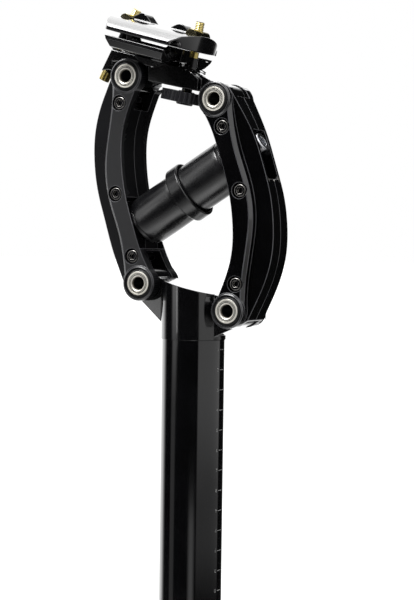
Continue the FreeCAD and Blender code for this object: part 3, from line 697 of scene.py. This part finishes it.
wheelFoot = makeWheel()
makeClampBolt("front_clamp_bolt", "frontClampBolt", "front_barrel_nut", frontAim,
              wheelFoot + frontAim * mm(wheelLook["boltFrom"]))
frontSleeve = {
    "bore": 2.3, "radius": 2.6, "from": 5.86, "to": 22.6,       # mm, up from the wheel's foot
    "sides": 48,
}


def makeFrontSleeve():
    look = frontSleeve
    wall = [(look["bore"], look["from"]), (look["radius"], look["from"]),
            (look["radius"], look["to"]), (look["bore"], look["to"])]
    makePiece("frontBoltSleeve", lathe(wall, wheelFoot, frontAim, look["sides"]), "cap_polymer",
              "front_clamp_bolt")


makeFrontSleeve()
print("clamp ready")


view = {
    "azimuth": 26.493, "elevation": 1.788, "roll": 0.784,     # degrees, from straight at the left side
    "distance": 881.578, "across": 6.814, "above": 19.571,    # mm, from the frame's origin
    "lens": 105.83, "sensor": 36, "nearest": 0.01,      # mm, mm, metres
}


def makeCamera():
    azimuth, elevation, roll = (math.radians(view[k]) for k in ("azimuth", "elevation", "roll"))
    back = Vector((math.sin(azimuth) * math.cos(elevation), -math.cos(azimuth) * math.cos(elevation),
                   math.sin(elevation)))
    level = Vector((math.cos(azimuth), math.sin(azimuth), 0))
    upright = back.cross(level)
    right = level * math.cos(roll) + upright * math.sin(roll)
    up = upright * math.cos(roll) - level * math.sin(roll)
    stand = right * mm(view["across"]) + up * mm(view["above"]) + back * mm(view["distance"])
    camera = bpy.data.objects.new("camera", bpy.data.cameras.new("camera"))
    bpy.context.collection.objects.link(camera)
    camera.data.lens = view["lens"]
    camera.data.sensor_width = view["sensor"]
    camera.data.clip_start = view["nearest"]
    turn = Matrix((right, up, back)).transposed().to_4x4()
    camera.matrix_world = Matrix.Translation(stand) @ turn
    bpy.context.scene.camera = camera
    return right, back


cameraRight, cameraBack = makeCamera()
print("camera ready")


studio = {
    "floorSize": 60.0, "floorDrop": 0.0005,     # metres
    "floorLow": "A0A09F", "floorHigh": "A8A8A7", "floorRough": 0.4, "speckleMm": 111.1,
    "floorLift": 0.3,       # added for the camera, so that the floor renders white and keeps its shadows
    "openFrom": 0.35, "openTo": 0.7,    # metres from the post, where the floor turns into plain white
    "roomLight": 0.007,     # what the dim walls of the room give
    "glossFrom": -70,       # mm up; the floor shows in the gloss as it is seen from here
    "lampsAim": 40,         # mm up
}
panels = {
    # what the gloss shows; bearings in degrees to the right of the camera, heights in degrees
    # name: (bearing, half width, blur, height, half height, blur, brightness)
    "sweepBehind": (-160, 38, 24, 20, 70, 20, 1.5),
    "ceiling": (0, 200, 1, 90, 52, 20, 0.9),
    "table": (0, 200, 1, -90, 52, 14, 0.9),
    "tableEdge": (0, 200, 1, -90, 68, 12, 0.42),
    "rightFoot": (66, 47, 3, -10, 4, 8, 0.22),
    "rightWall": (66, 47, 3, 27, 33, 6, 0.5),
    "rightCard": (50, 30, 6, 31, 30, 3, 0.45),
    "leftStrip": (-74, 9, 5, 0, 60, 10, 0.2),
    "leftCard": (-70, 9, 8, 31, 33, 5, 0.9),
    "floorFront": (1, 9, 14, -31, 22, 3, 0.5),
}


def roomSeen(tree, direction):
    # direction: a unit vector's socket; gives how bright the studio is that way
    across = addNode(tree, "ShaderNodeVectorMath", {0: direction, 1: tuple(cameraRight)},
                     operation="DOT_PRODUCT")
    towards = addNode(tree, "ShaderNodeVectorMath", {0: direction, 1: tuple(cameraBack)},
                      operation="DOT_PRODUCT")
    turn = addNode(tree, "ShaderNodeMath", {0: across.outputs["Value"], 1: towards.outputs["Value"]},
                   operation="ARCTAN2")
    bearing = addNode(tree, "ShaderNodeMath", {0: turn.outputs[0]}, operation="DEGREES")
    split = addNode(tree, "ShaderNodeSeparateXYZ", {0: direction})
    lift = addNode(tree, "ShaderNodeMath", {0: split.outputs["Z"]}, operation="ARCSINE")
    height = addNode(tree, "ShaderNodeMath", {0: lift.outputs[0]}, operation="DEGREES")
    total = studio["roomLight"]
    for middle, half, blur, rise, halfRise, blurRise, brightness in panels.values():
        inside = []
        for angle, centre, reach, soft in ((bearing, middle, half, blur), (height, rise, halfRise, blurRise)):
            off = addNode(tree, "ShaderNodeMath", {0: angle.outputs[0], 1: centre}, operation="SUBTRACT")
            near = addNode(tree, "ShaderNodeMath", {0: off.outputs[0], 1: 180, 2: -180}, operation="WRAP")
            gap = addNode(tree, "ShaderNodeMath", {0: near.outputs[0]}, operation="ABSOLUTE")
            inside.append(addNode(tree, "ShaderNodeMapRange", {
                "Value": gap.outputs[0], "From Min": reach - soft / 2, "From Max": reach + soft / 2,
                "To Min": 1.0, "To Max": 0.0}, interpolation_type="SMOOTHSTEP"))
        both = addNode(tree, "ShaderNodeMath", {0: inside[0].outputs[0], 1: inside[1].outputs[0]},
                       operation="MULTIPLY")
        total = addNode(tree, "ShaderNodeMath", {0: both.outputs[0], 1: brightness, 2: total},
                        operation="MULTIPLY_ADD").outputs[0]
    return total


def makeFloor():
    shell = bmesh.new()
    bmesh.ops.create_grid(shell, x_segments=2, y_segments=2, size=studio["floorSize"] / 2)
    low = cadBounds[0][2] - studio["floorDrop"]
    bmesh.ops.translate(shell, verts=shell.verts, vec=(0, 0, low))
    mesh = bpy.data.meshes.new("floor")
    shell.to_mesh(mesh)
    shell.free()
    floor = bpy.data.objects.new("floor", mesh)
    bpy.context.collection.objects.link(floor)
    material, tree = newMaterial("Pale studio floor")
    place = addNode(tree, "ShaderNodeTexCoord")
    speckle = addNode(tree, "ShaderNodeTexNoise", {"Vector": place.outputs["Object"],
                                                   "Scale": 1000 / studio["speckleMm"], "Detail": 3.0})
    colour = addNode(tree, "ShaderNodeValToRGB", {"Fac": speckle.outputs["Fac"]})
    setColours(colour, [(0.2, studio["floorLow"]), (0.8, studio["floorHigh"])])
    paint = addNode(tree, "ShaderNodeBsdfDiffuse", {"Color": colour.outputs["Color"],
                                                    "Roughness": studio["floorRough"]})
    away = addNode(tree, "ShaderNodeVectorMath", {0: place.outputs["Object"]}, operation="LENGTH")
    lift = addNode(tree, "ShaderNodeMapRange", {
        "Value": away.outputs["Value"], "From Min": studio["openFrom"], "From Max": studio["openTo"],
        "To Min": studio["floorLift"], "To Max": 1.0}, interpolation_type="SMOOTHSTEP")
    white = addNode(tree, "ShaderNodeEmission", {"Color": linear("FFFFFF"), "Strength": lift.outputs[0]})
    bright = addNode(tree, "ShaderNodeAddShader", {0: paint.outputs[0], 1: white.outputs[0]})
    tube = (0, 0, mm(studio["glossFrom"]))
    fromTube = addNode(tree, "ShaderNodeVectorMath", {0: place.outputs["Object"], 1: tube},
                       operation="SUBTRACT")
    way = addNode(tree, "ShaderNodeVectorMath", {0: fromTube.outputs[0]}, operation="NORMALIZE")
    sweep = addNode(tree, "ShaderNodeEmission", {"Color": linear("FFFFFF"),
                                                 "Strength": roomSeen(tree, way.outputs["Vector"])})
    seen = addNode(tree, "ShaderNodeLightPath")
    gloss = addNode(tree, "ShaderNodeMixShader", {0: seen.outputs["Is Glossy Ray"], 1: paint.outputs[0],
                                                  2: sweep.outputs[0]})
    straight = addNode(tree, "ShaderNodeMath", {0: seen.outputs["Is Camera Ray"],
                                                1: seen.outputs["Is Transmission Ray"]}, operation="MAXIMUM")
    both = addNode(tree, "ShaderNodeMixShader", {0: straight.outputs[0], 1: gloss.outputs[0],
                                                 2: bright.outputs[0]})
    addNode(tree, "ShaderNodeOutputMaterial", {"Surface": both.outputs[0]})
    mesh.materials.append(material)


def makeWorld():
    # a dim room with lit panels; plain white straight to the camera
    world = bpy.data.worlds.new("studio")
    world.use_nodes = True
    tree = world.node_tree
    tree.nodes.clear()
    look = addNode(tree, "ShaderNodeTexCoord")
    room = addNode(tree, "ShaderNodeBackground", {"Color": linear("FFFFFF"),
                                                  "Strength": roomSeen(tree, look.outputs["Generated"])})
    path = addNode(tree, "ShaderNodeLightPath")
    plain = addNode(tree, "ShaderNodeBackground", {"Color": linear("FFFFFF"), "Strength": 1.0})
    mix = addNode(tree, "ShaderNodeMixShader", {0: path.outputs["Is Camera Ray"], 1: room.outputs[0],
                                                2: plain.outputs[0]})
    addNode(tree, "ShaderNodeOutputWorld", {"Surface": mix.outputs[0]})
    bpy.context.scene.world = world


lamps = {
    # name: (bearing to the right of the camera, height, both in degrees; distance, width, height in metres;
    #        brightness)
    "overheadBox": (-100, 72, 0.9, 0.9, 0.6, 6.5),
    "linkCard": (-59.8, 3.6, 0.412, 0.045, 0.17, 1.55),     # close by, just for the rear link's flat side
    "keyBox": (-45, 50, 1.3, 0.4, 0.4, 20.0),
}


def makeLamps():
    centre = Vector((0, 0, mm(studio["lampsAim"])))
    ahead = Vector((cameraBack.x, cameraBack.y, 0)).normalized()
    for name, (bearing, height, distance, width, tall, brightness) in lamps.items():
        turned = Matrix.Rotation(math.radians(bearing), 3, "Z") @ ahead
        aim = turned * math.cos(math.radians(height)) + Vector((0, 0, math.sin(math.radians(height))))
        data = bpy.data.lights.new(name, "AREA")
        data.shape = "RECTANGLE"
        data.size = width
        data.size_y = tall
        data.energy = brightness * math.pi * width * tall       # as bright whatever its size
        lamp = bpy.data.objects.new(name, data)
        bpy.context.collection.objects.link(lamp)
        lamp.location = centre + aim * distance
        lamp.rotation_euler = (-aim).to_track_quat("-Z", "Y").to_euler()
        lamp.visible_camera = False


makeFloor()
makeWorld()
makeLamps()
bpy.context.scene.view_settings.view_transform = "Standard"
print("studio ready")
